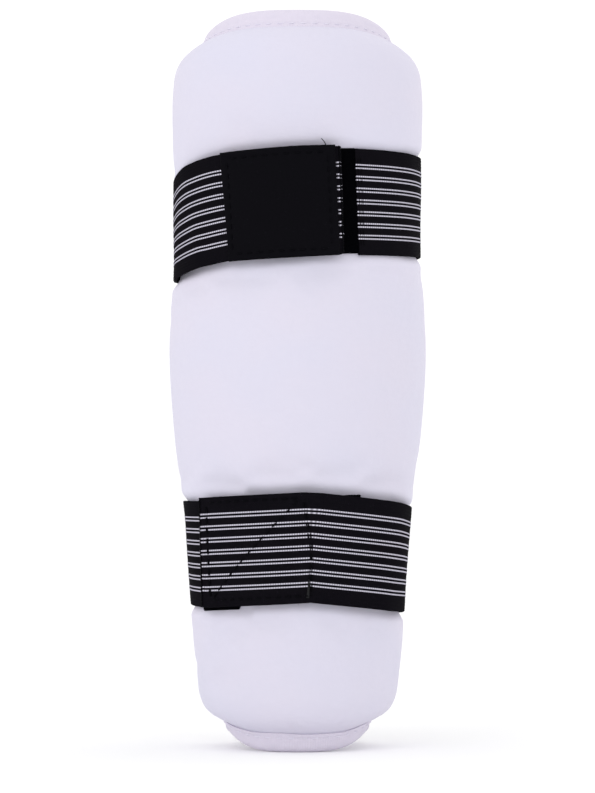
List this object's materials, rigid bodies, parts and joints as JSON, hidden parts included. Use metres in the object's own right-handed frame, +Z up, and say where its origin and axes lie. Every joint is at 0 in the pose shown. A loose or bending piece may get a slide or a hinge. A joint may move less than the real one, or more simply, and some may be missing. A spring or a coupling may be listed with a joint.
{
  "type": "forearm guard",
  "caption": "Padded C-shaped forearm sleeve, open along the back, with bound edges and striped elastic straps that close on the front with hook-and-loop tape.",
  "frame": {"origin": "middle of the bounding box, on the face that the guard stands on", "axes": "+Z runs up the forearm from the wrist end to the elbow end, the padded front faces -Y, the open back faces +Y, +X is to the right seen from the front"},
  "size_m": [0.096, 0.0931, 0.274],
  "materials": {
    "cover_fabric": "matte, smooth coated weave",
    "lining_fabric": "matte brushed knit",
    "foam": "matte closed-cell foam",
    "binding_tape": "matte folded tape",
    "white_thread": "matte thread",
    "black_thread": "matte thread",
    "hook_and_loop": "matte pile",
    "badge": "matte",
    "elastic": "ribbed weave with white dotted stripes"
  },
  "bodies": {
    "shell": {"bottom_binding": "binding_tape", "bottom_binding_thread": "white_thread", "foam_backing": "foam", "foam_core": "foam", "inner_lining": "lining_fabric", "left_binding": "binding_tape", "left_binding_thread": "white_thread", "lower_anchor_thread": "black_thread", "lower_loop_tape": "hook_and_loop", "lower_strap_anchor": "elastic", "outer_cover": "cover_fabric", "right_binding": "binding_tape", "right_binding_thread": "white_thread", "top_binding": "binding_tape", "top_binding_thread": "white_thread", "upper_anchor_thread": "black_thread", "upper_loop_tape": "hook_and_loop", "upper_strap_anchor": "elastic"},
    "upper_back": {"upper_strap_back": "elastic"},
    "upper_side": {"upper_strap_side": "elastic"},
    "upper_flap": {"upper_strap_flap": "elastic", "upper_hook_tape": "hook_and_loop", "upper_flap_hem": "black_thread", "upper_badge": "badge", "upper_badge_thread": "black_thread"},
    "lower_back": {"lower_strap_back": "elastic"},
    "lower_side": {"lower_strap_side": "elastic"},
    "lower_flap": {"lower_strap_flap": "elastic", "lower_hook_tape": "hook_and_loop", "lower_flap_hem": "black_thread", "lower_box_thread": "black_thread"}
  },
  "joints": [
    {"name": "upper_back_swing", "type": "hinge", "parent": "shell", "child": "upper_back", "pos_m": [0.0313, 0.0458, 0.2005], "axis": [0, 0, -1], "range_deg": [0, 31.5]},
    {"name": "upper_side_swing", "type": "hinge", "parent": "upper_back", "child": "upper_side", "pos_m": [-0.0313, 0.0458, 0.2005], "axis": [0, 0, -1], "range_deg": [0, 45]},
    {"name": "upper_flap_peel", "type": "hinge", "parent": "upper_side", "child": "upper_flap", "pos_m": [-0.0473, 0.0084, 0.2005], "axis": [0, 0, -1], "range_deg": [0, 90]},
    {"name": "lower_back_swing", "type": "hinge", "parent": "shell", "child": "lower_back", "pos_m": [-0.0293, 0.0443, 0.073], "axis": [0, 0, 1], "range_deg": [0, 31.5]},
    {"name": "lower_side_swing", "type": "hinge", "parent": "lower_back", "child": "lower_side", "pos_m": [0.0293, 0.0443, 0.073], "axis": [0, 0, 1], "range_deg": [0, 45]},
    {"name": "lower_flap_peel", "type": "hinge", "parent": "lower_side", "child": "lower_flap", "pos_m": [0.0439, 0.0084, 0.073], "axis": [0, 0, 1], "range_deg": [0, 90]}
  ],
  "couplings": [
    {"joint": "upper_back_swing", "follows": "upper_flap_peel", "ratio": 0.35},
    {"joint": "upper_side_swing", "follows": "upper_flap_peel", "ratio": 0.5},
    {"joint": "lower_back_swing", "follows": "lower_flap_peel", "ratio": 0.35},
    {"joint": "lower_side_swing", "follows": "lower_flap_peel", "ratio": 0.5}
  ]
}
